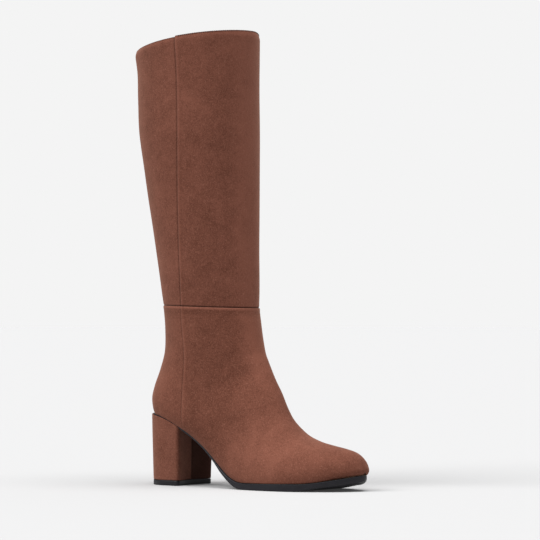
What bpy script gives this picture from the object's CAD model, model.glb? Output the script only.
import math

import bmesh
import bpy
import numpy as np
from mathutils import Matrix, Vector


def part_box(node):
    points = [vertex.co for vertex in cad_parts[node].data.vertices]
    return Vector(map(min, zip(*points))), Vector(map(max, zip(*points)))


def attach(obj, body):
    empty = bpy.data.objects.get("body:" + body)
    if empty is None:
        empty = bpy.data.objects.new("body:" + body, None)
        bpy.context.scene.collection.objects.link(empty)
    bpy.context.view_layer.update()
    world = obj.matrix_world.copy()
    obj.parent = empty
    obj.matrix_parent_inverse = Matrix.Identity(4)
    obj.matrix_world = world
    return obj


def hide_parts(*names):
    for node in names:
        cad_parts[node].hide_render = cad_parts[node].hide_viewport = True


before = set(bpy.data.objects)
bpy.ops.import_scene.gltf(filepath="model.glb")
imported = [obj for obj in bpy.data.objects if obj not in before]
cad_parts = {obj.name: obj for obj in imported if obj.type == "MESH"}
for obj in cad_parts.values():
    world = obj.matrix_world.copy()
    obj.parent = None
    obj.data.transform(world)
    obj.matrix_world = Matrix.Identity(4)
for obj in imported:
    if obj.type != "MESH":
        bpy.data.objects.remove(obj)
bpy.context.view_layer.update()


# ---- Studio ----
# A pale seamless floor, a broad soft box overhead, one at the left, a third behind at the right,
# and even light all round. The camera stands low, off the front outer side.
scene = bpy.context.scene
scene.view_settings.view_transform = "Standard"
lift_low, lift_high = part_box("heel_top_piece")
MM = 0.001
LIFT_FRONT = 43.2 * MM
ORIGIN = Vector((lift_high.x - LIFT_FRONT, (lift_low.y + lift_high.y) / 2, 0.0))

VIEW_TURN = math.radians(36.8)
VIEW_DISTANCE = 2.80
VIEW_HEIGHT = 0.162
VIEW_SIDE = 0.10619
VIEW_PITCH = math.radians(0.90)
across = Vector((math.cos(VIEW_TURN), math.sin(VIEW_TURN), 0))
towards = Vector((math.sin(VIEW_TURN), -math.cos(VIEW_TURN), 0))
camera = bpy.data.objects.new("camera", bpy.data.cameras.new("camera"))
scene.collection.objects.link(camera)
camera.location = (ORIGIN + across * VIEW_SIDE + towards * VIEW_DISTANCE
                   + Vector((0, 0, VIEW_HEIGHT)))
looking = -towards * math.cos(VIEW_PITCH) + Vector((0, 0, math.sin(VIEW_PITCH)))
camera.rotation_euler = looking.to_track_quat("-Z", "Y").to_euler()
camera.data.sensor_width = 36
camera.data.lens = 193
camera.data.clip_end = 40
scene.camera = camera


def add_object(name, mesh):
    piece = bpy.data.objects.new(name, mesh)
    scene.collection.objects.link(piece)
    return piece


def new_material(name):
    material = bpy.data.materials.new(name)
    material.use_nodes = True
    return material


def fill(node, values):
    """Sets a node's inputs, by name or number, to plain values or to other nodes' outputs."""
    for label, value in values.items():
        if isinstance(value, bpy.types.NodeSocket):
            node.id_data.links.new(value, node.inputs[label])
        else:
            node.inputs[label].default_value = value
    return node


def add_node(tree, kind, values, output=0, **settings):
    """One output of a new shader node."""
    node = tree.nodes.new("ShaderNode" + kind)
    for name, setting in settings.items():
        setattr(node, name, setting)
    return fill(node, values).outputs[output]


floor_bm = bmesh.new()
bmesh.ops.create_circle(floor_bm, cap_ends=True, cap_tris=True, segments=96, radius=120)
floor_mesh = bpy.data.meshes.new("studio_floor")
floor_bm.to_mesh(floor_mesh)
floor_bm.free()
floor = add_object("studio_floor", floor_mesh)
floor_material = new_material("studio_paper")
fill(floor_material.node_tree.nodes["Principled BSDF"], {
    "Base Color": (0.424, 0.424, 0.426, 1), "Roughness": 1, "Specular IOR Level": 0,
    "Emission Color": (1, 1, 1, 1), "Emission Strength": 0.035})
floor_mesh.materials.append(floor_material)


def soft_light(name, right, near, up, power, spread):
    """A distant soft light from a direction given as right of, near to and above the camera."""
    data = bpy.data.lights.new(name, "SUN")
    data.energy = power
    data.angle = math.radians(spread)
    lamp = bpy.data.objects.new(name, data)
    scene.collection.objects.link(lamp)
    direction = across * right + towards * near + Vector((0, 0, up))
    lamp.rotation_euler = direction.to_track_quat("Z", "Y").to_euler()


soft_light("key", -0.8, 0.40, 0.9, 3.05, 45)
soft_light("top", 0.1, 0.15, 1.0, 3.0, 38)
soft_light("edge", 0.9, -0.35, 0.9, 0.35, 100)
world = bpy.data.worlds.new("studio_air")
world.use_nodes = True
air_level = add_node(world.node_tree, "MapRange", {
    "Value": add_node(world.node_tree, "LightPath", {}, "Is Camera Ray"),
    "To Min": 0.34, "To Max": 0.905})
fill(world.node_tree.nodes["Background"], {"Color": (1, 1, 1, 1), "Strength": air_level})
scene.world = world


# ---- Foot: suede vamp and counter ----
# Two panels of brown suede, lasted over the foot and glued under its edge: the vamp in front and
# the counter behind, joined by a seam on the outer side. The folded top edge laps over the leg,
# and a zip slit is left open down the inner side.
# Each section of the last lies in a plane from a back or bottom point (bx, bz) to a front or top
# point (fx, fz), in mm from the back of the heel. lat and med are half widths about mid, belly
# says how far forward the widest place lies, front and back how square each half is. Up the leg
# the sections are plain ovals, and only their back, front and half width are given.
SECTION_COLUMNS = ("bx", "bz", "fx", "fz", "mid", "lat", "med", "belly", "front", "back")
LEG_OVALS = (
    (-20.0, 424, 110.8, 440, 49.6), (-19.4, 411, 110.7, 426, 49.0),
    (-16.7, 392, 110.7, 402, 48.0), (-16.2, 367, 110.4, 372, 47.6),
    (-15.3, 338, 111.2, 341, 46.6), (-9.5, 300, 112.0, 302, 43.6),
    (-3.5, 262, 112.6, 263, 40.2), (3.2, 224, 113.0, 224, 37.2),
    (9.3, 186, 113.8, 186, 34.6), (12.4, 168, 113.8, 168, 33.6),
    (13.6, 148, 116.0, 155, 32.6),
)
FOOT_SECTIONS = (
    (12.8, 127, 118.0, 145, 0, 31.8, 31.8, 0.49, 2.0, 2.0),
    (7.0, 109.5, 120.5, 135, 0, 31.4, 31.4, 0.47, 2.0, 2.0),
    (0.2, 92, 123.5, 126.5, 0, 31.2, 31.0, 0.44, 1.95, 2.1),
    (-0.8, 78, 127.1, 119.5, 0, 31.2, 30.6, 0.40, 1.95, 2.3),
    (6.5, 60, 131.4, 111.8, 0, 31.4, 30.0, 0.36, 1.9, 2.4),
    (24, 53, 137.5, 101.3, -1, 31.0, 29.0, 0.34, 1.9, 2.5),
    (46, 46, 145.1, 89.2, -2, 30.4, 28.0, 0.34, 1.9, 2.6),
    (66, 33, 151.0, 77.6, -2.5, 30.2, 27.0, 0.34, 1.9, 2.6),
    (86, 17, 157.4, 66.7, -2.5, 31.6, 26.6, 0.34, 1.95, 2.7),
    (106, 3, 164.4, 58.6, -2, 35.4, 29.0, 0.32, 2.0, 2.9),
    (130, -5, 174.1, 50.4, -1, 39.6, 33.4, 0.30, 2.0, 3.0),
    (155, -5, 187.1, 44.6, 0, 41.0, 36.6, 0.30, 2.0, 3.0),
    (179, -4, 201.4, 41.0, 2, 38.8, 35.6, 0.30, 2.0, 3.0),
    (199, -1, 213.9, 38.3, 4, 32.6, 30.2, 0.32, 2.0, 3.0),
    (215, 2, 224.0, 35.1, 6, 24.6, 22.6, 0.34, 2.0, 2.8),
    (226.5, 5.5, 231.1, 29.6, 7.6, 15.6, 14.6, 0.38, 2.0, 2.6),
    (233, 9, 234.7, 23.0, 8.6, 8.2, 8.2, 0.42, 2.0, 2.2),
    (235.6, 14, 235.8, 19, 8.8, 3.4, 3.4, 0.50, 2.0, 2.0),
)
SECTIONS = np.array([(*oval[:4], 0, oval[4], oval[4], 0.5, 2, 2) for oval in LEG_OVALS]
                    + list(FOOT_SECTIONS))
LAST_SECTION = len(SECTIONS) - 1
TABLE_U = np.arange(0, LAST_SECTION + 0.005, 0.01)


def between(start, stop, start_slope, stop_slope, t):
    """A smooth way from start to stop that leaves and arrives at given slopes."""
    rise = stop - start
    bend = (start_slope - rise) * (1 - t) + (rise - stop_slope) * t
    return start + t * rise + t * (1 - t) * bend


def sections_at(u):
    """Section values at fractional section numbers."""
    u = np.clip(u, 0, LAST_SECTION)
    index = np.clip(np.floor(u).astype(int), 0, LAST_SECTION - 1)
    before, here, there, after = (SECTIONS[np.clip(index + k, 0, LAST_SECTION)]
                                  for k in (-1, 0, 1, 2))
    mixed = between(here, there, (there - before) / 2, (after - here) / 2, (u - index)[..., None])
    return {name: mixed[..., k] for k, name in enumerate(SECTION_COLUMNS)}


def form(u, turn):
    """Points of the last in mm. turn is 0 at the front or top, + towards the inner side."""
    s = sections_at(u)
    c, w = np.cos(turn), np.sin(turn)
    power = 2 / np.where(c >= 0, s["front"], s["back"])
    along = np.abs(c) ** power
    side = np.abs(w) ** power
    f = s["belly"] + np.where(c >= 0, along * (1 - s["belly"]), -along * s["belly"])
    y = s["mid"] + np.where(w < 0, -side * s["lat"], side * s["med"])
    x = s["bx"] + f * (s["fx"] - s["bx"])
    z = s["bz"] + f * (s["fz"] - s["bz"])
    return np.stack([x, y, z], -1)


def form_out(u, turn):
    """Directions out of the last, of length 1."""
    low = np.clip(u - 0.03, 0, LAST_SECTION)
    high = np.clip(u + 0.03, 0, LAST_SECTION)
    along = form(high, turn) - form(low, turn)
    around = form(u, turn + 0.01) - form(u, turn - 0.01)
    out = np.cross(along, around)
    return out / np.maximum(np.linalg.norm(out, axis=-1, keepdims=True), 1e-9)


def smooth_curve(xs, ys, at):
    """A curve through points that never overshoots them, read at some lengths."""
    xs, ys = np.array(xs, float), np.array(ys, float)
    at = np.clip(at, xs[0], xs[-1])
    rise = np.diff(ys) / np.diff(xs)
    product, total = rise[:-1] * rise[1:], rise[:-1] + rise[1:]
    turning = product <= 0
    slope = np.where(turning, 0, 2 * product / np.where(turning, 1, total))
    slope = np.concatenate([rise[:1], slope, rise[-1:]])
    i = np.clip(np.searchsorted(xs, at, side="right") - 1, 0, len(xs) - 2)
    span = xs[i + 1] - xs[i]
    return between(ys[i], ys[i + 1], slope[i] * span, slope[i + 1] * span, (at - xs[i]) / span)


def fade(low, high, value):
    """A soft step from 0 at low to 1 at high."""
    t = np.clip((value - low) / (high - low), 0, 1)
    return t * t * (3 - 2 * t)


def swell(value, middle, reach):
    """A soft rise to 1 at middle, nearly gone two reaches away."""
    return np.exp(-((value - middle) / reach) ** 2)


def solve(measure, shape, low, high):
    """Where measure falls through zero between low and high, for every entry at once."""
    low, high = np.full(shape, float(low)), np.full(shape, float(high))
    for _ in range(28):
        half_way = (low + high) / 2
        above = measure(half_way) > 0
        low = np.where(above, half_way, low)
        high = np.where(above, high, half_way)
    return (low + high) / 2


# Sole line under the foot: length, reach to the outer and inner side, underside, edge thickness.
SOLE = np.array((
    (-2, 28.0, 28.0, 67.4, 1.4), (20, 28.0, 27.6, 64.4, 1.4), (40, 28.2, 26.4, 57.0, 1.4),
    (60, 28.4, 23.0, 46.4, 1.4), (74, 29.0, 20.4, 36.9, 1.6), (87, 30.4, 19.6, 25.8, 2.0),
    (100, 33.6, 21.6, 13.9, 2.8), (112, 36.6, 24.6, 5.4, 4.4), (121, 38.8, 27.4, 1.4, 5.4),
    (130, 40.4, 30.4, 0.0, 5.9), (145, 41.8, 34.4, 0.0, 6.2), (160, 42.0, 37.2, 0.0, 6.4),
    (175, 40.6, 38.8, 0.0, 6.6), (186, 37.8, 38.6, 0.0, 6.8), (197, 33.2, 37.0, 1.4, 6.0),
    (210, 26.0, 32.8, 3.7, 5.4), (222, 18.0, 26.8, 5.4, 6.0), (237, 8.0, 20.0, 10.0, 5.2),
))
GAP = 0.3


def sole_line(x, column):
    return smooth_curve(SOLE[:, 0], SOLE[:, column], x)


def sole_under(x):
    return sole_line(x, 3)


def sole_top(x):
    return sole_under(x) + sole_line(x, 4)


# The outer seam stands upright but bows forward over the calf and a little over the ankle. Each
# bow has a height, how far it comes forward and how far up and down it reaches.
SEAM_LENGTH, SEAM_BOWS = 51.8, ((365, 6.2, 95), (121, 2.7, 24))
# Heights and lengths of the zip, the ankle seam and the collar.
ZIP_LINE = ((62, 71), (95, 66), (127, 61), (176, 54), (243, 49), (330, 48), (440, 48))
SLIT_HALF, ZIP_TOP_Z, ZIP_END_Z = 3.3, 423.4, 62
ANKLE_HEIGHT, ANKLE_MIDDLE, ANKLE_SLOPE = 170.5, 62, -0.03
COLLAR_HEIGHT, COLLAR_MIDDLE, COLLAR_HALF = 422.6, 45.5, 66
COLLAR_SLOPE, COLLAR_BOW, COLLAR_DIP = 0.128, 1.75, 1.6


def outer_seam(z):
    return SEAM_LENGTH + sum(bow * swell(z, height, reach) for height, bow, reach in SEAM_BOWS)


def zip_line(z):
    return smooth_curve(*zip(*ZIP_LINE), z)


def ankle_level(x):
    return ANKLE_HEIGHT + ANKLE_SLOPE * (x - ANKLE_MIDDLE)


def collar_level(x):
    forward = x - COLLAR_MIDDLE
    bow = COLLAR_BOW * (1 - (forward / COLLAR_HALF) ** 2)
    return COLLAR_HEIGHT + COLLAR_SLOPE * forward + bow


def collar_dip(p):
    """How far the collar dips round the front of the inner side."""
    return COLLAR_DIP * fade(5, 28, p[..., 1]) * fade(55, 75, p[..., 0])


def end_turns(gap):
    """How far each section goes round before it meets the sole: half a turn above the heel."""
    def meeting(sign):
        def above_sole(turn):
            p = form(TABLE_U, sign * turn)
            return p[:, 2] - sole_top(p[:, 0]) - gap
        return solve(above_sole, TABLE_U.shape, 1.2, math.pi)
    return meeting(-1), meeting(1)


def line_turns(sign, line, shift=0.0):
    """Where a line that gives a length at each height crosses each section on one side."""
    def in_front(turn):
        p = form(TABLE_U, sign * turn)
        return p[:, 0] - line(p[:, 2]) - shift
    return solve(in_front, TABLE_U.shape, 0.2, 3.12)


def turn_speed(turn):
    """Length in mm round each section for a unit of turn."""
    step = form(TABLE_U, turn + 0.02) - form(TABLE_U, turn - 0.02)
    return np.maximum(np.linalg.norm(step, axis=-1) / 0.04, 6)


SEAM_ENDS_U, SEAM_SETTLES_U = 16.6, 21


def held(turns, ends, share):
    """A seam's turn, kept inside the end of each section past the place where it meets the sole."""
    ratio = turns / ends
    last = np.interp(SEAM_ENDS_U, TABLE_U, ratio)
    ratio = np.where(TABLE_U > SEAM_ENDS_U, last, ratio)
    ratio = ratio + (share - ratio) * fade(SEAM_ENDS_U, SEAM_SETTLES_U, TABLE_U)
    return np.minimum(ratio, 0.995) * ends


# Distances in mm at which rows and columns stand beside a rounded edge.
NEAR_EDGE = np.array((0, 0.14, 0.32, 0.55, 0.85, 1.2, 1.7, 2.3, 3.0, 4.0))


def skin_columns(gap, spacing):
    """Turns of every column of the skin at each section, each column's distance in mm from the
    outer seam (+ in front), the slit's edges and the sole's line (inf where far), and whether it
    lies in the slit."""
    outer_end, inner_end = end_turns(gap)
    seam = held(line_turns(-1, outer_seam), outer_end, 0.62)
    slit_front = held(line_turns(1, zip_line, SLIT_HALF), inner_end, 0.60)
    slit_back = held(line_turns(1, zip_line, -SLIT_HALF), inner_end, 0.70)
    made = []

    def add(turn, to_seam=np.inf, to_slit=np.inf, to_end=np.inf, open_here=False):
        made.append((turn, to_seam, to_slit, to_end, open_here))

    def stretch(start, stop, length, sign, start_edge="", stop_edge=""):
        """Columns over a length from start to stop, close together beside each end's edge."""
        room = np.abs(stop - start)
        start_step = np.minimum(1 / turn_speed(sign * start), room / 9)
        stop_step = np.minimum(1 / turn_speed(sign * stop), room / 9)
        way = np.sign(np.mean(stop - start))
        first = start + way * start_step * (NEAR_EDGE[-1] if start_edge else 0)
        last = stop - way * stop_step * (NEAR_EDGE[-1] if stop_edge else 0)
        if start_edge:
            for d in NEAR_EDGE[:-1]:
                add(sign * (start + way * start_step * d), **{start_edge: d})
        count = max(6, round(length / spacing))
        for k in range(count + 1):
            add(sign * (first + (last - first) * (k / count)))
        if stop_edge:
            for d in NEAR_EDGE[:-1][::-1]:
                distance = -d if stop_edge == "to_seam" else d
                add(sign * (stop - way * stop_step * d), **{stop_edge: distance})

    # Each stretch that begins where the last one ended takes over its end column.
    stretch(outer_end, seam, 62, -1, "to_end", "to_seam")
    made.pop()
    stretch(seam, seam * 0, 82, -1, "to_seam")
    made.pop()
    stretch(slit_front * 0, slit_front, 78, 1, "", "to_slit")
    for share in (0.25, 0.5, 0.75):
        add(slit_front + (slit_back - slit_front) * share, to_slit=0, open_here=True)
    stretch(slit_back, inner_end, 58, 1, "to_slit", "to_end")
    columns, *marks = zip(*made)
    return np.stack(columns, -1), *(np.array(values) for values in marks)


def turns_at(columns, u):
    return np.stack([np.interp(u[:, c], TABLE_U, columns[:, c]) for c in range(u.shape[1])], -1)


def rows_at_levels(columns, level, rows):
    """Section numbers above the ankle's bend where each column crosses each row's level."""
    def above(u):
        p = form(u, turns_at(columns, u))
        return p[..., 2] - level(p[..., 0], rows[:, None])
    return solve(above, (len(rows), columns.shape[1]), 0, 11.5)


def rows_below(level_rows, below):
    """Rows at levels, and below them rows that even out to plain section numbers."""
    uneven = level_rows[-1] - level_rows[-1].mean()
    settle = (1 - fade(10, 12.5, below))[:, None]
    return np.concatenate([level_rows, below[:, None] + uneven * settle])


def lip(distance, radius):
    """How far a folded edge has rounded inwards at some distance from it."""
    inside = np.clip(radius - distance, 0, radius)
    return radius - np.sqrt(radius ** 2 - inside ** 2)


def seam_relief(distance):
    """Groove of the outer seam, with the front panel's edge standing a little higher beside it."""
    return (0.55 * swell(distance, 2.0, 1.4) + 0.05 * swell(distance, -1.5, 1.1)
            - 0.45 * swell(distance, 0, 0.6))


def soft_waves(p):
    """The slight unevenness of stretched leather, in mm."""
    x, y, z = p[..., 0], p[..., 1], p[..., 2]
    return (0.10 * np.sin(x * 0.11 + 1.3 * np.sin(z * 0.031)) * np.sin(z * 0.047 + y * 0.05)
            + 0.06 * np.sin(z * 0.13 + x * 0.07) * np.sin(y * 0.12 + 0.8))


def lay_grid(bm, points, out):
    """Fills a new bmesh with a grid of faces whose corners are points[row, column], facing out."""
    rows, columns = points.shape[:2]
    out = np.broadcast_to(np.array(out, float), points.shape)
    made = bmesh.ops.create_grid(bm, x_segments=columns - 1, y_segments=rows - 1, size=1)["verts"]
    for vert, place in zip(made, points.reshape(-1, 3)):
        vert.co = ORIGIN + Vector(place) * MM
    middle_face = made[(rows // 2) * columns + columns // 2].link_faces[0]
    middle_face.normal_update()
    if middle_face.normal.dot(Vector(out[rows // 2, columns // 2])) < 0:
        bmesh.ops.reverse_faces(bm, faces=bm.faces)
    return made


def make_piece(name, bm, material, slot, replaced=(), wall=0.0, body="boot"):
    """Turns a bmesh into a piece of the boot, with a wall inwards if it is a sheet."""
    mesh = bpy.data.meshes.new(name)
    bm.to_mesh(mesh)
    bm.free()
    mesh.polygons.foreach_set("use_smooth", [True] * len(mesh.polygons))
    mesh.materials.append(material)
    piece = add_object(name, mesh)
    if wall:
        solid = piece.modifiers.new("wall", "SOLIDIFY")
        solid.thickness = wall * MM
        solid.offset = -1
    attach(piece, body)
    if replaced:
        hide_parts(*replaced)


def brushed_up(p, seam_distance):
    """Where the nap is brushed up and looks lighter, over the vamp, low on the counter and along
    the front panel's edge, the lapped edge and the shin, and where it lies flat and looks darker,
    down the middle of the leg."""
    x, z = p[..., 0], p[..., 2]
    below_ankle = ankle_level(x) - z
    shin_x = np.interp(z, (90, 120, 155, 250), (138, 124, 116, 113))
    shin = 1.8 * swell(x, shin_x, 8) * fade(90, 120, z)
    lap_edge = (2.5 + 0.8 * np.sin(x * 0.9) * np.sin(x * 0.37)) * swell(below_ankle, 1.2, 1.0)
    lifted = (0.8 * swell(x, 148, 36) * swell(z, 48, 28)
              + 0.5 * swell(x, 14, 26) * swell(z, 88, 22)
              + shin + swell(seam_distance, 2.2, 1.2) + lap_edge)
    flat = (0.75 * swell(x, 84, 34) * swell(z, 190, 100)
            + 0.85 * swell(x, 84, 38) * swell(z, 66, 36)
            + 0.5 * swell(below_ankle, 5, 2.2))
    return lifted - flat


def skin_piece(name, u, columns, offsets, shade, seam_distance, open_cells, material, slot,
               replaced, wall):
    """A sheet over the last, at an offset from it, with cells left open for the zip. At the
    bottom it is tucked in over the sole, and a sheet that reaches the toe is closed there."""
    wide = columns.shape[1]
    meets_sole = u.max() > SEAM_ENDS_U
    reaches_toe = u.max() >= LAST_SECTION - 0.01
    turns = turns_at(columns, u)
    out = form_out(u, turns)
    points = form(u, turns)
    points = points + out * (offsets + soft_waves(points))[..., None]
    seam_distance = np.broadcast_to(seam_distance, u.shape)
    if meets_sole:
        above = points[..., 2] - sole_top(points[..., 0]) - GAP
        toe_tuck = 0.4 + 1.7 * fade(200, 230, points[..., 0])
        points = points - out * (toe_tuck * (1 - np.clip(above / 6, 0, 1)) ** 2)[..., None]
        points[..., 2] = np.maximum(points[..., 2], sole_top(points[..., 0]) + GAP)
    if reaches_toe:
        tip = (points[-1, 0] + points[-1, -1] + 2 * points[-1, wide // 2]) / 4
        drawn = [tip + (0.5 - 0.5 * share ** 2, 0, 0) + (points[-1] - tip) * share
                 for share in (0.8, 0.5, 0.2, 0.0)]
        points = np.concatenate([points, drawn])
        out = np.concatenate([out, np.repeat(out[-1:], 4, 0)])
        shade, seam_distance, open_cells = (
            np.concatenate([values, np.full((4, wide), plain)])
            for values, plain in ((shade, 0.0), (seam_distance, np.inf), (open_cells, False)))
    bm = bmesh.new()
    shade_mark = bm.verts.layers.float.new("seam_shade")
    brush_mark = bm.verts.layers.float.new("brushed")
    made = lay_grid(bm, points, out)
    brushing = brushed_up(points, seam_distance)
    for vert, darkness, lightness in zip(made, shade.ravel(), brushing.ravel()):
        vert[shade_mark] = darkness
        vert[brush_mark] = lightness
    cut = [made[r * wide + c] for r, c in zip(*np.nonzero(open_cells))]
    bmesh.ops.delete(bm, geom=cut, context="VERTS")
    edge = [v for v in bm.verts if v.is_boundary] + (made[-wide:] if reaches_toe else [])
    bmesh.ops.remove_doubles(bm, verts=list(dict.fromkeys(edge)), dist=0.02 * MM)
    make_piece(name, bm, material, slot, replaced, wall)


def place_on(tree):
    """Where a point lies on its piece, from one node for the whole tree."""
    node = tree.nodes.get("place") or tree.nodes.new("ShaderNodeTexCoord")
    node.name = "place"
    return node.outputs["Object"]


def add_noise(tree, scale, detail, roughness=0.5, distortion=0.0, place=None):
    return add_node(tree, "TexNoise", {
        "Vector": place or place_on(tree), "Scale": scale, "Detail": detail,
        "Roughness": roughness, "Distortion": distortion}, "Fac")


def add_pores(tree, scale):
    return add_node(tree, "TexVoronoi", {"Vector": place_on(tree), "Scale": scale}, "Distance")


def add_math(tree, kind, *values):
    return add_node(tree, "Math", dict(enumerate(values)), operation=kind)


def add_range(tree, *values):
    """A value spread from between two levels to 0 and 1, or to two others."""
    return add_node(tree, "MapRange", dict(enumerate(values)))


def add_mix(tree, factor, first, second):
    return add_node(tree, "Mix", {0: factor, 6: first, 7: second}, 2, data_type="RGBA")


def new_group(name, colors, numbers=(), gives=("Roughness", "Height")):
    """A node group, the colours and numbers it takes, and the node that gives its results."""
    group = bpy.data.node_groups.new(name, "ShaderNodeTree")
    for way, kind, labels in (("INPUT", "Color", colors), ("INPUT", "Float", numbers),
                              ("OUTPUT", "Color", ("Color",)), ("OUTPUT", "Float", gives)):
        for label in labels:
            group.interface.new_socket(label, in_out=way, socket_type="NodeSocket" + kind)
    return (group, group.nodes.new("NodeGroupInput").outputs,
            group.nodes.new("NodeGroupOutput"))


def group_material(name, group, *colors):
    """A material and its group node, with the group's colours set."""
    material = new_material(name)
    node = material.node_tree.nodes.new("ShaderNodeGroup")
    node.node_tree = group
    fill(node, {index: (*color, 1) for index, color in enumerate(colors)})
    return material, node


def dress(material, color, roughness, height=None, strength=0.0, depth=0.0, more=None):
    """Gives a material's surface its colour, roughness, relief and more settings."""
    surface = fill(material.node_tree.nodes["Principled BSDF"],
                   {"Base Color": color, "Roughness": roughness, **(more or {})})
    if height:
        fill(surface, {"Normal": add_node(material.node_tree, "Bump", {
            "Strength": strength, "Distance": depth, "Height": height})})


# The nap of suede: soft clouds where it has been brushed one way or the other, small reddish
# flecks, and a fine pile.
nap, nap_in, nap_out = new_group("suede_nap", ("Dark", "Light", "Fleck"), ("Shade", "Brushed"))
mottle = add_noise(nap, 460, 3, 0.65)
pile = add_noise(nap, 1150, 2, 0.7)
tone = add_math(nap, "MULTIPLY", add_noise(nap, 80, 4, 0.6, 0.5), 0.7)
tone = add_math(nap, "MULTIPLY_ADD", add_noise(nap, 26, 3, 0.5, 0.4), 0.55, tone)
tone = add_math(nap, "MULTIPLY_ADD", mottle, 0.75, tone)
tone = add_math(nap, "MULTIPLY_ADD", pile, 1.3, tone)
tone = add_range(nap, tone, 1.22, 2.08)
tone = add_math(nap, "MULTIPLY_ADD", nap_in["Brushed"], 0.3, tone)
napped = add_mix(nap, tone, nap_in["Dark"], nap_in["Light"])
flecked = add_range(nap, add_noise(nap, 900, 2, 0.6), 0.56, 0.74, 0.0, 0.5)
napped = add_mix(nap, flecked, napped, nap_in["Fleck"])
shaded = add_math(nap, "MULTIPLY", nap_in["Shade"], 0.9)
fill(nap_out, {"Color": add_mix(nap, shaded, napped, (0.012, 0.005, 0.004, 1)),
               "Roughness": add_range(nap, tone, 0, 1, 0.96, 0.82),
               "Height": add_math(nap, "MULTIPLY_ADD", mottle, 0.6,
                                  add_math(nap, "MULTIPLY", pile, 0.5))})


def suede(name, dark, light):
    """Suede with its own colours, darker in its seams and lighter where it is brushed up."""
    material, node = group_material(name, nap, dark, light, (0.27, 0.118, 0.082))
    for label, mark in (("Shade", "seam_shade"), ("Brushed", "brushed")):
        fill(node, {label: add_node(material.node_tree, "Attribute", {}, "Fac",
                                    attribute_name=mark)})
    dress(material, *node.outputs, 0.55, 0.0004, {
        "Specular IOR Level": 0.06, "Sheen Weight": 0.22, "Sheen Roughness": 0.4,
        "Sheen Tint": (1.0, 0.60, 0.45, 1)})
    return material


foot_suede = suede("foot_suede", (0.083, 0.0285, 0.0175), (0.172, 0.063, 0.041))
FOOT_PROUD, FOOT_SUEDE_WALL = 0.8, 0.85
foot_columns, foot_seam, foot_slit, foot_end, foot_in_slit = skin_columns(GAP, 1.9)
lap_rows = np.concatenate([NEAR_EDGE, np.arange(5.2, 18.5, 1.4)])
lap_u = rows_at_levels(foot_columns, lambda x, d: ankle_level(x) - GAP / 2 - d, lap_rows)
# Rows stand closest where the heel's seat ends and the skin first meets the sole.
foot_u = rows_below(lap_u, np.concatenate([
    np.arange(lap_u[-1].mean() + 0.08, 14.4, 0.09), np.arange(14.4, 15.6, 0.05),
    np.arange(15.6, 27.01, 0.115), np.linspace(27.08, LAST_SECTION, 13)]))
foot_places = form(foot_u, turns_at(foot_columns, foot_u))
from_lap = np.full(len(foot_u), np.inf)
from_lap[:len(lap_rows)] = lap_rows
slit_end_u = np.interp(-ZIP_END_Z, -form(TABLE_U, line_turns(1, zip_line))[:, 2], TABLE_U)
slit_open = 1 - fade(slit_end_u, slit_end_u + 0.12, foot_u)
heel_seat_u = np.interp(-(math.pi - 0.01), -end_turns(GAP)[0], TABLE_U)
feather = fade(heel_seat_u, heel_seat_u + 0.3, foot_u)
seam_shown = fade(50, 72, foot_places[..., 2])
foot_offset = (FOOT_PROUD - lip(from_lap, 0.8)[:, None] + 0.12 * swell(from_lap, 2.0, 1.2)[:, None]
               + 0.7 * seam_relief(foot_seam) * seam_shown
               - lip(foot_slit, 0.8) * slit_open - lip(foot_end, 0.8) * feather)
foot_shade = np.clip(0.2 * swell(foot_seam, 0, 0.9) * seam_shown
                     + 0.6 * swell(foot_slit, 0, 0.6) * slit_open
                     + 0.6 * swell(foot_end, 0, 0.6) * feather, 0, 1)
skin_piece("foot_suede", foot_u, foot_columns, foot_offset, foot_shade,
           np.where(seam_shown > 0.5, foot_seam, np.inf), foot_in_slit & (foot_u < slit_end_u),
           foot_suede, "upper_suede", ("upper",), FOOT_SUEDE_WALL)


# ---- Leg: suede shaft ----
# Two panels of the same suede, closed in a seam down the outer side and by the zip down the inner
# side. The collar is cut and turned, a little higher on the front panel, and the bottom edge is
# tucked under the foot's lapped edge.
leg_suede = suede("leg_suede", (0.085, 0.0295, 0.0185), (0.176, 0.065, 0.043))
LEG_PROUD, LEG_SUEDE_WALL, LEG_HEIGHT = 0.35, 0.95, 251.5
leg_columns, leg_seam, leg_slit, _, leg_in_slit = skin_columns(GAP, 2.1)
front_panel = np.zeros(leg_columns.shape[1])
front_panel[np.argmin(np.abs(leg_seam)) + 1:np.nonzero(leg_in_slit)[0][1]] = 1
from_collar = np.concatenate([NEAR_EDGE, np.arange(5.6, LEG_HEIGHT - 3.4, 2.0), LEG_HEIGHT
                              + np.array((-2.4, -1.7, -1.2, -0.8, -0.45, -0.2, 0, 0.5, 2.5, 5.0))])


def shaft_rows(columns, rows, drop, bottom=0.0):
    """Rows at distances in mm below the collar, which is set down by a drop. At LEG_HEIGHT they
    run along the ankle seam."""
    collar_u = np.ones((1, columns.shape[1]))
    dip = collar_dip(form(collar_u, turns_at(columns, collar_u)))

    def level(x, distance):
        top = collar_level(x) - dip - drop
        return top + (ankle_level(x) + bottom - top) * distance / LEG_HEIGHT
    return rows_at_levels(columns, level, rows)


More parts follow.
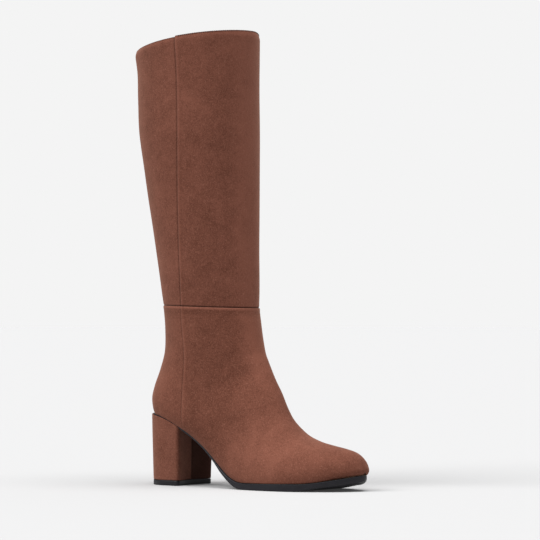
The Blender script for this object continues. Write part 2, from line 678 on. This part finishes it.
leg_u = shaft_rows(leg_columns, from_collar, 0.6 - front_panel, GAP / 2)
above_lap = (LEG_HEIGHT - from_collar)[:, None]
tuck = 0.5 * (1 - fade(-0.3, 1.6, above_lap))
curl = 1.3 * (1 - fade(0, 7, from_collar[:, None])) ** 2
leg_offset = (LEG_PROUD + seam_relief(leg_seam) * fade(-1, 3, above_lap) - lip(leg_slit, 0.9)
              - lip(from_collar, 0.9)[:, None] - curl - tuck)
leg_shade = np.clip(0.34 * swell(leg_seam, 0, 0.9) + 0.6 * swell(leg_slit, 0, 0.6)
                    + (0.85 - 0.50 * front_panel) * swell(from_collar[:, None], 0, 0.8)
                    + 0.85 * (1 - fade(0.2, 1.2, above_lap)), 0, 1)
skin_piece("leg_suede", leg_u, leg_columns, leg_offset, leg_shade, leg_seam,
           np.repeat(leg_in_slit[None], len(from_collar), 0), leg_suede, "shaft_suede",
           ("shaft",), LEG_SUEDE_WALL)


# ---- Lining ----
# A soft brown pigskin lining, glued inside the leg and foot from just under the collar down to
# the insole. It closes to the same slit as the suede.
def clouded(name, noise, dark, light, roughness):
    """A material and its tree, with a tone and a roughness that drift in soft clouds."""
    material = new_material(name)
    tree = material.node_tree
    cloud = add_noise(tree, *noise)
    tone = add_mix(tree, add_range(tree, cloud, 0.3, 0.7), (*dark, 1), (*light, 1))
    return material, tree, tone, add_range(tree, cloud, 0.3, 0.7, *roughness)


lining_leather, lining_tree, lining_tone, lining_roughness = clouded(
    "lining_leather", (60, 4, 0.55), (0.200, 0.118, 0.070), (0.285, 0.178, 0.112), (0.62, 0.78))
lining_pores = add_range(lining_tree, add_pores(lining_tree, 620), 0.05, 0.3)
lining_tone = add_mix(lining_tree, lining_pores, (0.150, 0.085, 0.050, 1), lining_tone)
dress(lining_leather, lining_tone, lining_roughness, lining_pores, 0.4, 0.0003)
LINING_BELOW_COLLAR, LINING_WALL, LINING_END = 1.1, 0.7, GAP + 1.8
lining_columns, *_, lining_in_slit = skin_columns(LINING_END, 4.5)
lining_rows = np.concatenate([(0.35, 0.6, 1.2), np.arange(4, LEG_HEIGHT + 14, 5.0)])
lining_top_u = shaft_rows(lining_columns, lining_rows, LINING_BELOW_COLLAR)
lining_u = rows_below(lining_top_u, np.concatenate([
    np.arange(lining_top_u[-1].mean() + 0.2, 14, 0.2), np.arange(14, 16, 0.08),
    np.arange(16, 27.6, 0.25)]))
lining_drop = np.full((len(lining_u), 1), LEG_HEIGHT + 20)
lining_drop[:len(lining_rows), 0] = lining_rows
lining_offset = -1.08 + 0.33 * fade(LEG_HEIGHT + 2, LEG_HEIGHT + 12, lining_drop)
skin_piece("lining", lining_u, lining_columns, lining_offset, np.zeros(lining_u.shape), np.inf,
           lining_in_slit & (lining_u < slit_end_u), lining_leather, "insole_leather", (),
           LINING_WALL)


# ---- Insole ----
# A smooth tan leather sock glued over the insole board, seen down the leg. It stops just short of
# the lining all round, where its edge is rounded off.
def side_reach(x, z, sign):
    """Half width of the last on one side at a length and height."""
    def above(u):
        s = sections_at(u)
        return s["bz"] + (x - s["bx"]) / (s["fx"] - s["bx"]) * (s["fz"] - s["bz"]) - z
    s = sections_at(solve(above, x.shape, 0, LAST_SECTION))
    forward = (x - s["bx"]) / (s["fx"] - s["bx"]) - s["belly"]
    reach = np.where(forward > 0, forward / (1 - s["belly"]), -forward / s["belly"])
    power = np.where(forward > 0, s["front"], s["back"])
    wide = np.clip(1 - np.clip(reach, 0, 1) ** power, 0, 1) ** (1 / power)
    return s["mid"] + np.where(sign < 0, -s["lat"], s["med"]) * wide


sock_leather, sock_tree, *sock_look = clouded(
    "insole_leather", (75, 5, 0.6), (0.270, 0.165, 0.098), (0.370, 0.240, 0.150), (0.48, 0.62))
dress(sock_leather, *sock_look, add_pores(sock_tree, 900), 0.3, 0.0002)
SOCK_THICK, SOCK_WALL, SOCK_SHORT, SOCK_CENTRE = 2.1, 1.9, 2.3, 7
sock_x = np.concatenate([2.2 + 8 * (np.arange(0, 8) / 8) ** 2, np.arange(11.5, 222, 3),
                         229.5 - 7 * (np.arange(8, -1, -1) / 8) ** 2])
sock_bottom = sole_top(sock_x) + GAP + 0.1
sock_outer = side_reach(sock_x, sock_bottom + 1.6, -1) + SOCK_SHORT
sock_inner = side_reach(sock_x, sock_bottom + 1.6, 1) - SOCK_SHORT
sock_outer = np.minimum(sock_outer, SOCK_CENTRE)[:, None]
sock_inner = np.maximum(sock_inner, SOCK_CENTRE + 0.2)[:, None]
sock_share = np.concatenate([(0, 0.012, 0.03), np.linspace(0.06, 0.94, 19), (0.97, 0.988, 1)])
sock_edge = fade(0, 0.03, np.minimum(sock_share, 1 - sock_share))
sock_points = np.stack(np.broadcast_arrays(
    sock_x[:, None], sock_outer + (sock_inner - sock_outer) * sock_share,
    sock_bottom[:, None] + SOCK_THICK - 0.9 * (1 - sock_edge)), -1)
sock_bm = bmesh.new()
lay_grid(sock_bm, sock_points, (0, 0, 1))
make_piece("insole_sock", sock_bm, sock_leather, "insole_leather", ("insole",), SOCK_WALL)


# ---- Outsole ----
# One moulded rubber unit, thin under the arch and thick under the ball, with a matt edge marked
# by fine lines from the buffing wheel and a glossier rolled corner at the toe.
rubber, rubber_in, rubber_out = new_group("rubber_wear", ("Dark", "Light"))
dust = add_noise(rubber, 130, 5, 0.6)
speck = add_noise(rubber, 1800, 2)
lengthwise = add_node(rubber, "Mapping", {"Vector": place_on(rubber), "Scale": (0.05, 0.05, 1)})
buffing = add_noise(rubber, 2600, 2, 0.6, place=lengthwise)
rubber_tone = add_range(rubber, add_math(rubber, "MULTIPLY_ADD", buffing, 0.4, dust), 0.5, 0.95)
fill(rubber_out, {
    "Color": add_mix(rubber, rubber_tone, rubber_in["Dark"], rubber_in["Light"]),
    "Roughness": add_range(rubber, dust, 0.3, 0.7, 0.40, 0.55),
    "Height": add_math(rubber, "MULTIPLY_ADD", speck, 0.3, buffing)})


def rubber_finish(name, dark, light):
    """Worn black rubber."""
    material, node = group_material(name, rubber, dark, light)
    dress(material, *node.outputs, 0.25, 0.0002, {"Specular IOR Level": 0.3})
    return material


def weld(bm, reach):
    """Joins corners that lie within reach of each other (mm) and turns every face outwards."""
    bmesh.ops.remove_doubles(bm, verts=bm.verts, dist=reach * MM)
    bmesh.ops.recalc_face_normals(bm, faces=bm.faces)


sole_rubber = rubber_finish("sole_rubber", (0.0035, 0.003, 0.0055), (0.0085, 0.0075, 0.011))
SOLE_LENGTH, SOLE_BACK, REAR_ROUND, TOE_ROUND, TOE_MID = 235.1, -0.5, 25.5, 17.0, 8.6
quarter = np.linspace(0, math.pi / 2, 22)
sole_x = np.concatenate([SOLE_BACK + REAR_ROUND * (1 - np.cos(quarter)),
                         np.arange(27.5, 217, 2.5),
                         SOLE_LENGTH - TOE_ROUND + TOE_ROUND * np.sin(quarter)])
rear_left = np.clip(REAR_ROUND - (sole_x - SOLE_BACK), 0, REAR_ROUND) / REAR_ROUND
toe_left = np.clip(sole_x - (SOLE_LENGTH - TOE_ROUND), 0, TOE_ROUND) / TOE_ROUND
closing = np.sqrt(1 - rear_left ** 2) * np.sqrt(1 - toe_left ** 2)
sole_mid = np.where(toe_left > 0, TOE_MID, 0)
seat_inset = 1.8 * (1 - fade(38, 50, sole_x))
sole_outer = sole_mid - (sole_line(sole_x, 1) - seat_inset + sole_mid) * closing
sole_inner = sole_mid + (sole_line(sole_x, 2) - seat_inset - sole_mid) * closing
thick = sole_line(sole_x, 4)
roll = np.minimum(0.9 + 2.9 * fade(190, 226, sole_x), thick * 0.62)
roll_in = np.minimum(roll, np.maximum((sole_inner - sole_outer) / 2, 0))
# Round the section: over the top, down the inner edge, across underneath, up the outer edge.
across_shares = np.linspace(0, 1, 13)
sole_points = []
for x, outer, inner, low, height, corner, corner_in in zip(
        sole_x, sole_outer, sole_inner, sole_under(sole_x), thick, roll, roll_in):
    side = [(0, height - 0.25), (0, height * 0.6 + corner * 0.3), (0, corner * 1.02)]
    side += [(corner_in * (1 - math.cos(angle)), corner * (1 - math.sin(angle)))
             for angle in np.linspace(0.2, math.pi / 2, 6)]
    ring = [(outer + (inner - outer) * share, height) for share in across_shares]
    ring += [(inner - inward, up) for inward, up in side]
    ring += [(inner - corner_in + (outer - inner + 2 * corner_in) * share, 0)
             for share in across_shares[1:-1]]
    ring += [(outer + inward, up) for inward, up in reversed(side)] + [(outer, height)]
    sole_points.append([(x, y, low + up) for y, up in ring])
sole_bm = bmesh.new()
lay_grid(sole_bm, np.array(sole_points), (0, 0, -1))
weld(sole_bm, 0.01)
make_piece("sole", sole_bm, sole_rubber, "sole_rubber", ("outsole",))


# ---- Heel ----
# A block heel of light plastic covered in the same suede, wrapped from the back and joined down
# the middle of its slightly hollow front. Its rim stands up a little round the foot.
heel_suede = suede("heel_suede", (0.088, 0.031, 0.0195), (0.182, 0.069, 0.046))
# Height, back, half width and front of the heel's section.
HEEL_ROWS = np.array(((5.1, -0.4, 26.6, 42.9), (30, -1.1, 27.3, 43.3), (50, -1.6, 28.0, 43.6),
                      (75, -1.9, 28.8, 44.0)))
HEEL_FOOT_Z, HEEL_RUN, HEEL_CENTRE = 5.1, 56, 20.0
HEEL_HOLLOW, HEEL_CORNER, HEEL_EDGE, RIM_RISE = 4.0, 2.8, 0.85, 1.5
HEEL_COLUMNS = 150


def lengths_along(points):
    """How far along a line of points each of them lies."""
    return np.concatenate([[0], np.cumsum(np.linalg.norm(np.diff(points, axis=0), axis=1))])


def heel_outline(z, inset):
    """Section of the heel in mm, from the middle of its front round the outer side and back."""
    back, half, front = (smooth_curve(HEEL_ROWS[:, 0], HEEL_ROWS[:, k], z) for k in (1, 2, 3))
    back, half, front = back + inset, half - inset, front - inset
    corner = HEEL_CORNER - inset
    flat = half - corner
    path = [(front - HEEL_HOLLOW * (1 - (y / flat) ** 2) ** 1.5, -y)
            for y in np.linspace(0, flat, 20)]
    path += [(front - corner + corner * math.cos(a), -flat - corner * math.sin(a))
             for a in np.linspace(0, math.pi / 2, 16)[1:]]
    path += [(back + half - half * math.sin(a), -half * math.cos(a))
             for a in np.linspace(0, math.pi / 2, 40)]
    path = np.array(path)
    path = np.concatenate([path, (path * (1, -1))[::-1][1:]])
    length = lengths_along(path)
    at = np.linspace(0, length[-1], HEEL_COLUMNS + 1)
    return np.stack([np.interp(at, length, path[:, k]) for k in (0, 1)], -1)


def heel_top(x):
    return sole_under(np.maximum(x, -2)) - GAP


def heel_ring(share, inset, rise=0.0):
    """One ring of the heel, at a share of its height, set in and raised by some mm."""
    flat = heel_outline(HEEL_FOOT_Z + share * HEEL_RUN, inset)
    height = HEEL_FOOT_Z + (heel_top(flat[:, 0]) - HEEL_FOOT_Z) * share + rise
    return np.concatenate([flat, height[:, None]], 1)


def closed_piece(name, rings, bottom_z, top_z, darkness, *details):
    """A solid piece from rings, drawn in to a point at both ends and welded."""
    def drawn_in(ring, share, level):
        flat = (HEEL_CENTRE, 0.0) + (ring[:, :2] - (HEEL_CENTRE, 0.0)) * share
        return np.concatenate([flat, level(flat[:, :1])], 1)
    shares = (0.93, 0.7, 0.4, 0.0)
    rings = np.array([drawn_in(rings[0], share, bottom_z) for share in reversed(shares)]
                     + rings + [drawn_in(rings[-1], share, top_z) for share in shares])
    bm = bmesh.new()
    mark = bm.verts.layers.float.new("seam_shade")
    for vert, dark in zip(lay_grid(bm, rings, (-1, 0, 0)), np.tile(darkness, len(rings))):
        vert[mark] = dark
    weld(bm, 0.004)
    make_piece(name, bm, *details)


rim = ((0, 0.5), (0.08, 0.2), (0.3, 0), (0.7, 0.05), (0.95, 0.4), (1.0, RIM_RISE))
heel_rings = [heel_ring(step / HEEL_RUN, lip(step, HEEL_EDGE)) for step in NEAR_EDGE[:5]]
heel_rings += [heel_ring(share, 0) for share in np.linspace(1.6 / HEEL_RUN, 1, 35)]
heel_rings += [heel_ring(1, inset, RIM_RISE - drop) for inset, drop in rim]
# The cover's seam is a groove down the middle of the front, where the nap lies flat and darker,
# most of all on the inner side of the seam.
round_front = np.arange(HEEL_COLUMNS + 1.0)
round_front[round_front >= HEEL_COLUMNS / 2] -= HEEL_COLUMNS
for ring in heel_rings:
    ring[:, 0] -= 0.5 * swell(round_front, 0, 0.8)
breast_shade = np.interp(round_front, (-26, -21, -3, -0.8, 0, 0.8, 3, 15, 21, 27),
                         (0, 0.84, 0.89, 0.87, 0.95, 0.48, 0.17, 0.05, 0.02, 0))
closed_piece("heel_cover", heel_rings, lambda x: np.full(x.shape, HEEL_FOOT_Z), heel_top,
             breast_shade, heel_suede, "heel_suede", ("heel_block",))


# ---- Heel top piece ----
# A hard rubber top piece pinned under the heel, as wide as the heel's foot, with its corners
# rounded by wear.
lift_rubber = rubber_finish("lift_rubber", (0.0035, 0.003, 0.004), (0.0085, 0.0075, 0.0105))
LIFT_THICK = 4.8
lift_rings = [np.pad(heel_outline(HEEL_FOOT_Z, inset), ((0, 0), (0, 1)), constant_values=z)
              for z, inset in ((0, 0.6), (0.12, 0.32), (0.3, 0.12), (0.6, 0), (1.6, 0), (3.2, 0),
                               (4.3, 0.05), (4.65, 0.15), (LIFT_THICK, 0.35))]
closed_piece("heel_lift", lift_rings, np.zeros_like, lambda x: np.full(x.shape, LIFT_THICK),
             np.zeros(HEEL_COLUMNS + 1), lift_rubber, "lift_rubber", ("heel_top_piece",))


# ---- Zip ----
# A closed coil zip down the inner side: a woven tape sewn behind the slit, and two rows of nylon
# teeth standing on it.
zip_turn = line_turns(1, zip_line)
zip_places = form(TABLE_U, zip_turn)
zip_run = (zip_places[:, 2] < ZIP_TOP_Z) & (TABLE_U <= slit_end_u)
zip_u = TABLE_U[zip_run]
zip_length = lengths_along(zip_places[zip_run])
zip_speed = turn_speed(zip_turn)


def zip_point(length, forward, offset):
    """Points and outward directions at lengths down the zip and distances in front of it."""
    u = np.interp(length, zip_length, zip_u)
    turn = np.interp(u, TABLE_U, zip_turn) - forward / np.interp(u, TABLE_U, zip_speed)
    out = form_out(u, turn)
    return form(u, turn) + out * offset[..., None], out


tape_cloth = new_material("zip_tape")
tape_tree = tape_cloth.node_tree
tape_ribs = add_node(tape_tree, "TexWave", {
    "Vector": place_on(tape_tree), "Scale": 520, "Distortion": 1.2, "Detail": 2}, "Fac",
    bands_direction="Z")
tape_fuzz = add_noise(tape_tree, 1400, 3, 0.6)
tape_weave = add_math(tape_tree, "MULTIPLY_ADD", tape_fuzz, 0.5, tape_ribs)
tape_tone = add_mix(tape_tree, add_range(tape_tree, tape_weave, 0.2, 1.3),
                    (0.030, 0.014, 0.010, 1), (0.085, 0.040, 0.029, 1))
dress(tape_cloth, tape_tone, add_range(tape_tree, tape_fuzz, 0.3, 0.7, 0.72, 0.88),
      tape_weave, 0.5, 0.0002)
TAPE_HALF, TAPE_DEPTH, TAPE_WALL = 4.95, 0.64, 0.4
tape_rows = np.arange(0, zip_length[-1], 1.6)
tape_forward = np.linspace(TAPE_HALF, -TAPE_HALF, 27)
tape_offset = 0.14 * swell(np.abs(tape_forward), 1.7, 0.35) - TAPE_DEPTH
tape_points, tape_out = zip_point(*np.broadcast_arrays(tape_rows[:, None], tape_forward,
                                                       tape_offset))
below_ankle = ankle_level(tape_points[..., 0]) - tape_points[..., 2]
tape_shift = soft_waves(tape_points) + 0.33 * fade(2, 12, below_ankle)
tape_bm = bmesh.new()
lay_grid(tape_bm, tape_points + tape_out * tape_shift[..., None], tape_out)
make_piece("zip_tape_cloth", tape_bm, tape_cloth, "zip_textile", ("zip_tape",), TAPE_WALL)


def turned(out, along, size, place):
    """A matrix for a small shape with its length along, its height out, in mm."""
    out, along = Vector(out), Vector(along)
    along = (along - out * along.dot(out)).normalized()
    basis = Matrix((along.cross(out), along, out)).transposed()
    basis = basis @ Matrix.Diagonal(Vector(size) * MM)
    return Matrix.Translation(ORIGIN + Vector(place) * MM) @ basis.to_4x4()


def bevel(bm, edges, width, segments=2):
    bmesh.ops.bevel(bm, geom=edges, offset=width * MM, segments=segments, affect="EDGES",
                    profile=0.5, material=-1)


teeth_nylon, _, *teeth_look = clouded(
    "zip_teeth", (300, 3), (0.060, 0.030, 0.022), (0.105, 0.055, 0.040), (0.32, 0.45))
dress(teeth_nylon, *teeth_look)
TOOTH_SIZE, TEETH_PITCH, TOOTH_SIDE = (2.05, 0.85, 0.86), 1.45, 0.62
teeth_bm = bmesh.new()
tooth_lengths = np.arange(5.0, zip_length[-1] - 3.5, TEETH_PITCH / 2)
tooth_sides = np.where(np.arange(len(tooth_lengths)) % 2 == 0, TOOTH_SIDE, -TOOTH_SIDE)
tooth_offset = np.full(tooth_lengths.shape, 0.06)
tooth_points, tooth_out = zip_point(tooth_lengths, tooth_sides, tooth_offset)
tooth_next, _ = zip_point(tooth_lengths + 0.5, tooth_sides, tooth_offset)
for place, out, ahead in zip(tooth_points, tooth_out, tooth_next):
    bmesh.ops.create_cube(teeth_bm, size=1, matrix=turned(out, ahead - place, TOOTH_SIZE, place))
bevel(teeth_bm, teeth_bm.edges[:], 0.2, 1)
make_piece("zip_teeth", teeth_bm, teeth_nylon, "zip_textile")


# ---- Zip slider ----
# A die-cast slider in dark nickel, parked at the top of the closed zip: a tapered plate with a
# loop on it for the pull tab.
nickel, nickel_in, nickel_out = new_group("nickel_wear", ("Dark", "Bright"),
                                          gives=("Roughness",))
nickel_edge = add_node(nickel, "NewGeometry", {}, "Pointiness")
nickel_cloud = add_noise(nickel, 420, 4, 0.6)
nickel_worn = add_math(nickel, "MULTIPLY_ADD", add_range(nickel, nickel_edge, 0.50, 0.60), 0.7,
                       add_range(nickel, nickel_cloud, 0.4, 0.8, 0, 0.35))
fill(nickel_out, {
    "Color": add_mix(nickel, nickel_worn, nickel_in["Dark"], nickel_in["Bright"]),
    "Roughness": add_range(nickel, nickel_cloud, 0.3, 0.7, 0.28, 0.46)})


def nickel_finish(name, dark, bright):
    """Dark nickel, rubbed bright at its edges."""
    material, node = group_material(name, nickel, dark, bright)
    dress(material, *node.outputs, more={"Metallic": 0.95})
    return material


def sharp_edges(bm, angle):
    return [edge for edge in bm.edges if edge.calc_face_angle(0) > angle]


slider_low, slider_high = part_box("zip_slider")
slider_middle = (slider_low + slider_high) / 2
slider_size = slider_high - slider_low
SLIDER_THICK, LOOP_HIGH, LOOP_HALF, LOOP_WIDE = 2.4 * MM, 3.0 * MM, 3.8 * MM, 1.8 * MM
LOOP_WIRE, LOOP_SUNK = 1.15 * MM, 0.2 * MM
slider_bm = bmesh.new()
bmesh.ops.create_cube(slider_bm, size=1)
upright = [e for e in slider_bm.edges if abs(e.verts[0].co.z - e.verts[1].co.z) > 0.5]
bmesh.ops.subdivide_edges(slider_bm, edges=upright, cuts=4)
for vert in slider_bm.verts:
    x, y, z = vert.co
    narrow = 0.74 + 0.26 * min(1, max(0, (z + 0.5) / 0.55)) - 0.22 * max(0, z - 0.3) / 0.2
    vert.co = (slider_middle.x + x * slider_size.x * narrow,
               slider_low.y + (y + 0.5) * SLIDER_THICK, slider_middle.z + z * slider_size.z)
bevel(slider_bm, sharp_edges(slider_bm, 0.5), 0.45, 3)
loop_bm = bmesh.new()
for vert in bmesh.ops.create_grid(loop_bm, x_segments=1, y_segments=1, size=0.5)["verts"]:
    vert.co = (vert.co.x * LOOP_WIDE, 0, (vert.co.y + 0.5) * LOOP_WIRE - LOOP_HALF)
bmesh.ops.spin(loop_bm, geom=loop_bm.faces[:] + loop_bm.edges[:] + loop_bm.verts[:],
               cent=(0, 0, 0), axis=(1, 0, 0), angle=-math.pi, steps=14)
for vert in loop_bm.verts:
    x, y, z = vert.co
    up = -y * (LOOP_HIGH + LOOP_SUNK) / LOOP_HALF - LOOP_SUNK
    vert.co = (slider_middle.x + x, slider_low.y + SLIDER_THICK + up, slider_middle.z + z)
bmesh.ops.recalc_face_normals(loop_bm, faces=loop_bm.faces)
bevel(loop_bm, sharp_edges(loop_bm, 1.0), 0.2)
loop_mesh = bpy.data.meshes.new("slider_loop")
loop_bm.to_mesh(loop_mesh)
loop_bm.free()
slider_bm.from_mesh(loop_mesh)
slider_nickel = nickel_finish("slider_nickel", (0.105, 0.092, 0.082), (0.36, 0.33, 0.30))
make_piece("zip_slider_body", slider_bm, slider_nickel, "zip_metal", ("zip_slider",))


# ---- Zip pull tab ----
# A flat tab stamped from the same metal, with a window through which it turns on the slider's
# loop, a waist below it and a rounded end. It hangs down over the teeth.
pull_low, pull_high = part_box("zip_pull")
pull_middle = (pull_low + pull_high) / 2
PULL_SHOULDER = pull_high.z - 4.6 * MM
PULL_WAIST, WAIST_REACH = pull_high.z - 10.5 * MM, 3.2 * MM
WINDOW_Z, WINDOW_HALF, WINDOW_TALL = pull_high.z - 3.25 * MM, 1.5 * MM, 2.15 * MM
pull_bm = bmesh.new()
outline_loop, window_loop = (
    bmesh.ops.create_circle(pull_bm, cap_ends=False, segments=40, radius=1)["verts"]
    for _ in range(2))
for vert in outline_loop:
    c, w, _ = vert.co
    square = 3.6 if w > 0 else 2.2
    reach = (abs(c) ** square + abs(w) ** square) ** (-1 / square)
    tall = pull_high.z - PULL_SHOULDER if w > 0 else PULL_SHOULDER - pull_low.z
    height = PULL_SHOULDER + w * reach * tall
    waist = 1 - 0.2 * swell(height, PULL_WAIST, WAIST_REACH)
    half = (pull_high.x - pull_low.x) / 2 * waist
    vert.co = (pull_middle.x + c * reach * half, pull_low.y, height)
for vert in window_loop:
    c, w, _ = vert.co
    reach = (abs(c) ** 4 + abs(w) ** 4) ** -0.25
    vert.co = (pull_middle.x + c * reach * WINDOW_HALF, pull_low.y,
               WINDOW_Z + w * reach * WINDOW_TALL)
bmesh.ops.bridge_loops(pull_bm, edges=pull_bm.edges[:])
raised = bmesh.ops.extrude_face_region(pull_bm, geom=pull_bm.faces[:])["geom"]
bmesh.ops.translate(pull_bm, vec=(0, pull_high.y - pull_low.y, 0),
                    verts=[item for item in raised if isinstance(item, bmesh.types.BMVert)])
bmesh.ops.recalc_face_normals(pull_bm, faces=pull_bm.faces)
bevel(pull_bm, sharp_edges(pull_bm, 1.0), 0.22)
pull_nickel = nickel_finish("pull_nickel", (0.110, 0.096, 0.086), (0.38, 0.35, 0.32))
make_piece("zip_pull_tab", pull_bm, pull_nickel, "pull_metal", ("zip_pull",), body="pull_tab")


# ---- Stitching ----
# Dark brown bonded thread: one row along the front panel's turned collar, worked close to its
# edge, and rows that hold the zip's tape, two in front of it and one behind.
thread = new_material("thread")
thread_tree = thread.node_tree
thread_twist = add_noise(thread_tree, 3200, 2)
thread_tone = add_mix(thread_tree, add_range(thread_tree, thread_twist, 0.35, 0.65),
                      (0.010, 0.004, 0.003, 1), (0.034, 0.014, 0.010, 1))
dress(thread, thread_tone, add_range(thread_tree, thread_twist, 0.3, 0.7, 0.55, 0.75))
COLLAR_STITCH, ZIP_STITCH = (1.3, 1.15, 0.9), (0.5, 1.45, 0.42)


def sew(bm, places, outs, pitch, size, start=0.0):
    """Stitches of a size (mm) along a line of points, a pitch apart."""
    length = lengths_along(places)
    for at in np.arange(start, length[-1], pitch):
        place, ahead, out = ([np.interp(where, length, values[:, k]) for k in range(3)]
                             for where, values in ((at, places), (at + 0.3, places), (at, outs)))
        matrix = turned(Vector(out).normalized(), np.subtract(ahead, place), size, place)
        bmesh.ops.create_icosphere(bm, subdivisions=1, radius=0.5, matrix=matrix)


collar_ends = (np.interp(1.0, TABLE_U, line_turns(1, zip_line, SLIT_HALF + 0.8)),
               np.interp(1.0, TABLE_U, -line_turns(-1, outer_seam, 0.9)))
collar_turns = np.linspace(*collar_ends, 500)


def above_stitches(u):
    p = form(u, collar_turns)
    return p[:, 2] - collar_level(p[:, 0]) + collar_dip(p) + 0.15


collar_u = solve(above_stitches, collar_turns.shape, 0, 4)
collar_out = form_out(collar_u, collar_turns)
collar_bm = bmesh.new()
sew(collar_bm, form(collar_u, collar_turns) - collar_out * 0.85, collar_out, 2.1, COLLAR_STITCH)
make_piece("collar_stitches", collar_bm, thread, "shaft_suede")

zip_sew_bm = bmesh.new()
sewn = np.arange(6, zip_length[-1] + 1, 2.0)
for forward, start in ((9.6, 0.0), (10.9, 1.1), (-9.0, 0.0)):
    places, outs = zip_point(sewn, forward, np.zeros(sewn.shape))
    lapped = places[:, 2] < ankle_level(places[:, 0])
    places = places + outs * np.where(lapped, FOOT_PROUD + 0.02, LEG_PROUD + 0.02)[:, None]
    sew(zip_sew_bm, places, outs, 2.3, ZIP_STITCH, start)
make_piece("zip_stitches", zip_sew_bm, thread, "shaft_suede")
